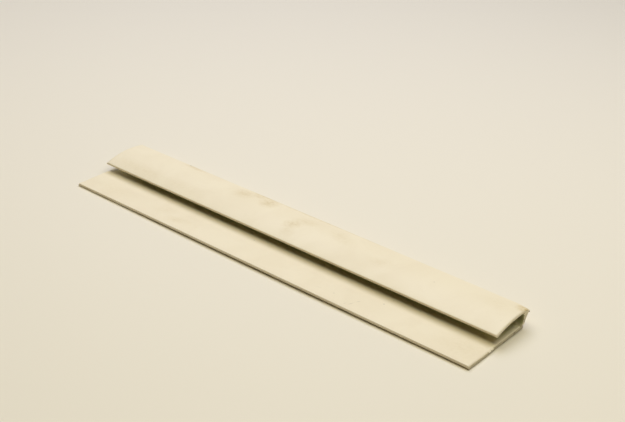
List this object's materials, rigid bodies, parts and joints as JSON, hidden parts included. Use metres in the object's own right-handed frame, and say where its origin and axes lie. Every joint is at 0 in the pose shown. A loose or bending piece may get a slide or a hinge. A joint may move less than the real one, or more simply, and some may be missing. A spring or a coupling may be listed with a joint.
{
  "type": "j-trim strip",
  "caption": "Extruded plastic J-trim strip: a wide flat flange, a leaning web and a crowned cap whose free lip closes over the edge of a thin wall panel.",
  "frame": {"origin": "middle of the strip's bounding box, on the back of the flange (z = 0), where it rests on a floor or wall", "axes": "+X along the strip, +Y across it from the flange's free edge to the nose of the cap, +Z out of the wall, through the flange to the crown of the cap"},
  "size_m": [0.194, 0.0348, 0.0071],
  "materials": {
    "extruded_pvc": "satin ivory extruded PVC, lightly handled, with raw sawn ends"
  },
  "bodies": {
    "root": {"j_trim": "extruded_pvc"}
  },
  "joints": []
}
